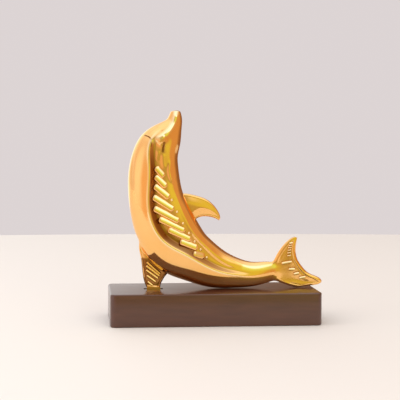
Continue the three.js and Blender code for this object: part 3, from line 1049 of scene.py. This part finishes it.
def make_dolphin(settings):
    made = object_from([body_shell(settings)], "dolphin_cast")
    combine(made, [back_fin(settings)], "UNION")
    combine(made, [flukes(settings)], "UNION")
    combine(made, [lower_fin(settings)], "UNION")
    combine(made, [foot(settings)], "UNION")
    soften_joints(made)
    combine(made, all_cuts(settings), "DIFFERENCE", DETAIL)
    for group in rib_groups(settings):
        combine(made, group, "UNION", DETAIL)
    smooth_with_sharp_edges(made, DOLPHIN_ANGLE)
    mark_surface(made, settings)
    finish_piece(made, "dolphin", gold_material(settings))


CORNER_SEGMENTS = 8
EDGE_SEGMENTS = 4


def round_edges(shell, edges, radius, segments):
    bmesh.ops.bevel(shell, geom=edges, offset=radius, offset_type="OFFSET", segments=segments, profile=0.5,
                    affect="EDGES", material=-1)


def rise_of(edge):
    return abs((edge.verts[0].co - edge.verts[1].co).z)


def make_block(settings, foot_thickness):
    size = block_high - block_low
    shell = box_shell(size, (block_low + block_high) / 2)
    upright = [edge for edge in shell.edges if rise_of(edge) > size.z / 2]
    round_edges(shell, upright, settings.corner_radius, CORNER_SEGMENTS)
    rims = [edge for edge in shell.edges if rise_of(edge) < MERGE_DISTANCE]
    round_edges(shell, rims, settings.edge_round, EDGE_SEGMENTS)
    bmesh.ops.remove_doubles(shell, verts=shell.verts, dist=MERGE_DISTANCE)
    bmesh.ops.recalc_face_normals(shell, faces=shell.faces)
    made = object_from([shell], "block")
    front, back = LOWER_FIN_LEADING(1)[0], LOWER_FIN_TRAILING(1)[0]
    slot_low = figure_low.z - settings.slot_floor
    slot_size = Vector((back - front + 2 * settings.slot_end, foot_thickness + 2 * settings.slot_side,
                        2 * (block_high.z - slot_low)))
    slot = box_shell(slot_size, ((front + back) / 2, 0, block_high.z))
    combine(made, [slot], "DIFFERENCE")
    smooth_with_sharp_edges(made, BLOCK_ANGLE)
    finish_piece(made, "plinth", block_material(settings))


def soft_light(name, place, target, size, power, colour):
    data = bpy.data.lights.new(name, "AREA")
    data.shape = "RECTANGLE"
    data.size, data.size_y = size
    data.energy = power
    data.color = colour
    lamp = bpy.data.objects.new(name, data)
    lamp.visible_glossy = False
    bpy.context.scene.collection.objects.link(lamp)
    aim = Vector(target) - Vector(place)
    lamp.matrix_world = Matrix.Translation(place) @ aim.to_track_quat("-Z", "Y").to_matrix().to_4x4()


# The camera, from the photograph: its place in metres, and its turns in degrees
CAMERA_PLACE = (-0.117, -0.777, 0.1583)
CAMERA_YAW = 4.43
CAMERA_PITCH = 0.64
CAMERA_ROLL = 0.24
CAMERA_SHIFT = (0.13, -0.13)
CAMERA_SENSOR = 36
CAMERA_CLIP = (0.01, 60)


def make_camera(lens):
    data = bpy.data.cameras.new("camera")
    data.lens = lens
    data.sensor_width = CAMERA_SENSOR
    data.clip_start, data.clip_end = CAMERA_CLIP
    data.shift_x, data.shift_y = CAMERA_SHIFT
    camera = bpy.data.objects.new("camera", data)
    bpy.context.scene.collection.objects.link(camera)
    turn = Matrix.Rotation(math.radians(-CAMERA_YAW), 4, "Z")
    turn @= Matrix.Rotation(math.radians(90 - CAMERA_PITCH), 4, "X")
    turn @= Matrix.Rotation(math.radians(CAMERA_ROLL), 4, "Z")
    camera.matrix_world = Matrix.Translation(CAMERA_PLACE) @ turn
    bpy.context.scene.camera = camera


# What the polished metal sees around it: the direction of each zone (the front is towards -Y), its
# colour, and the cosines of the angles from that direction where it begins and where it is full
ROOM_COLOUR = (0.74, 0.6, 0.52)
ROOM_ZONES = (
    ((0.15, -1, -0.1), (0.56, 0.47, 0.17), 0.3, 0.95),
    ((1, -0.3, 0), (0.72, 0.43, 0.19), 0.4, 0.95),
    ((0.6, 0.8, 0), (0.3, 0.15, 0.07), 0.5, 0.95),
    ((-0.6, 0.8, 0.1), (1.35, 1.4, 1.4), 0.6, 0.95),
    ((-1, -0.2, 0.1), (0.96, 0.82, 0.78), 0.3, 0.9),
    ((-0.6, -0.7, -0.3), (0.95, 0.62, 0.38), 0.7, 0.98),
    ((-0.9, -0.35, 0.12), (1.1, 1.08, 1.05), 0.86, 1),
    ((0, 0, 1), (1.2, 1.3, 1.45), 0.5, 0.98),
    ((0.46, -0.64, 0.61), (1.4, 1.45, 1.4), 0.93, 0.99),
    ((0.45, -0.9, 0.22), (0.8, 0.82, 0.15), 0.9, 1),
)
BACKDROP = (0.72, 0.66, 0.66)


def make_world():
    """A room of soft zones that the polished metal reflects, and the plain backdrop behind the piece."""
    world = bpy.data.worlds.new("studio")
    bpy.context.scene.world = world
    world.use_nodes = True
    tree = world.node_tree
    tree.nodes.clear()
    direction = add_node(tree, "ShaderNodeTexCoord", {}, "Generated")
    colour = (*ROOM_COLOUR, 1)
    for towards, shade, start, full in ROOM_ZONES:
        facing = add_node(tree, "ShaderNodeVectorMath", {0: direction, 1: Vector(towards).normalized()},
                          "Value", operation="DOT_PRODUCT")
        spread = add_node(tree, "ShaderNodeMapRange", {"Value": facing, "From Min": start, "From Max": full},
                          "Result", interpolation_type="SMOOTHSTEP")
        colour = mix_colours(tree, spread, colour, (*shade, 1))
    room = add_node(tree, "ShaderNodeBackground", {"Color": colour}, "Background")
    plain = add_node(tree, "ShaderNodeBackground", {"Color": (*BACKDROP, 1)}, "Background")
    seen = add_node(tree, "ShaderNodeLightPath", {}, "Is Camera Ray")
    mixed = add_node(tree, "ShaderNodeMixShader", {"Fac": seen, 1: room, 2: plain}, "Shader")
    feed(tree, tree.nodes.new("ShaderNodeOutputWorld"), {"Surface": mixed})


FLOOR_SEGMENTS = 128
FLOOR_ROUGHNESS = 0.6


def make_floor(settings):
    shell = bmesh.new()
    bmesh.ops.create_circle(shell, cap_ends=True, segments=FLOOR_SEGMENTS, radius=1)
    bmesh.ops.scale(shell, verts=shell.verts, vec=(settings.floor_width / 2, settings.floor_length / 2, 1))
    bmesh.ops.translate(shell, verts=shell.verts, vec=(0, settings.floor_back, 0))
    floor = object_from([shell], "floor")
    material, tree, shader = new_material("pale floor")
    feed(tree, shader, {"Base Color": (*settings.floor_colour, 1), "Roughness": FLOOR_ROUGHNESS})
    floor.data.materials.append(material)


# The lights: each one's name, its place and size in metres, its power in watts and its colour
LIGHTS = (
    ("window", (-1.3, -0.35, 0.75), (1.2, 1.4), 8, (1, 0.98, 0.96)),
    ("ceiling", (0.1, -0.2, 1.6), (1.6, 1), 3, (1, 0.98, 0.96)),
    ("front", (0.2, -1.4, 0.5), (1.2, 0.8), 5, (1, 0.96, 0.92)),
)


def make_stage(settings):
    make_floor(settings)
    make_world()
    middle = (cad_low + cad_high) / 2
    for name, place, size, power, colour in LIGHTS:
        soft_light(name, place, middle, size, power, colour)
    make_camera(settings.lens)
    bpy.context.scene.view_settings.view_transform = "Standard"


class DOLPHIN_OT_cast(bpy.types.Operator):
    """Make the cast dolphin with its fins, flukes, bars and lines"""

    bl_idname = "dolphin.cast"
    bl_label = "Dolphin"

    def execute(self, context):
        make_dolphin(context.scene.dolphin_settings)
        return {"FINISHED"}


class DOLPHIN_OT_block(bpy.types.Operator):
    """Make the dark block with its slot"""

    bl_idname = "dolphin.block"
    bl_label = "Block"

    def execute(self, context):
        make_block(context.scene.block_settings, context.scene.dolphin_settings.foot_thickness)
        return {"FINISHED"}


class DOLPHIN_OT_stage(bpy.types.Operator):
    """Make the floor, the lights and the camera"""

    bl_idname = "dolphin.stage"
    bl_label = "Stage"

    def execute(self, context):
        make_stage(context.scene.stage_settings)
        return {"FINISHED"}


OPERATORS = (DOLPHIN_OT_cast, DOLPHIN_OT_block, DOLPHIN_OT_stage)


class DOLPHIN_PT_panel(bpy.types.Panel):
    """The dolphin's pieces, in the order in which they are made"""

    bl_label = "Dolphin figurine"
    bl_idname = "DOLPHIN_PT_panel"
    bl_space_type = "VIEW_3D"
    bl_region_type = "UI"
    bl_category = "Dolphin"

    def draw(self, context):
        for operator in OPERATORS:
            self.layout.operator(operator.bl_idname)
        for settings in (context.scene.dolphin_settings, context.scene.block_settings,
                         context.scene.stage_settings):
            for name in settings.__annotations__:
                self.layout.prop(settings, name)


CLASSES = (DolphinSettings, BlockSettings, StageSettings, *OPERATORS, DOLPHIN_PT_panel)


def register():
    for one in CLASSES:
        bpy.utils.register_class(one)
    bpy.types.Scene.dolphin_settings = PointerProperty(type=DolphinSettings)
    bpy.types.Scene.block_settings = PointerProperty(type=BlockSettings)
    bpy.types.Scene.stage_settings = PointerProperty(type=StageSettings)


def unregister():
    del bpy.types.Scene.stage_settings
    del bpy.types.Scene.block_settings
    del bpy.types.Scene.dolphin_settings
    for one in reversed(CLASSES):
        bpy.utils.unregister_class(one)


def main():
    register()
    bpy.ops.dolphin.cast()
    bpy.ops.dolphin.block()
    bpy.ops.dolphin.stage()


if __name__ == "__main__":
    main()
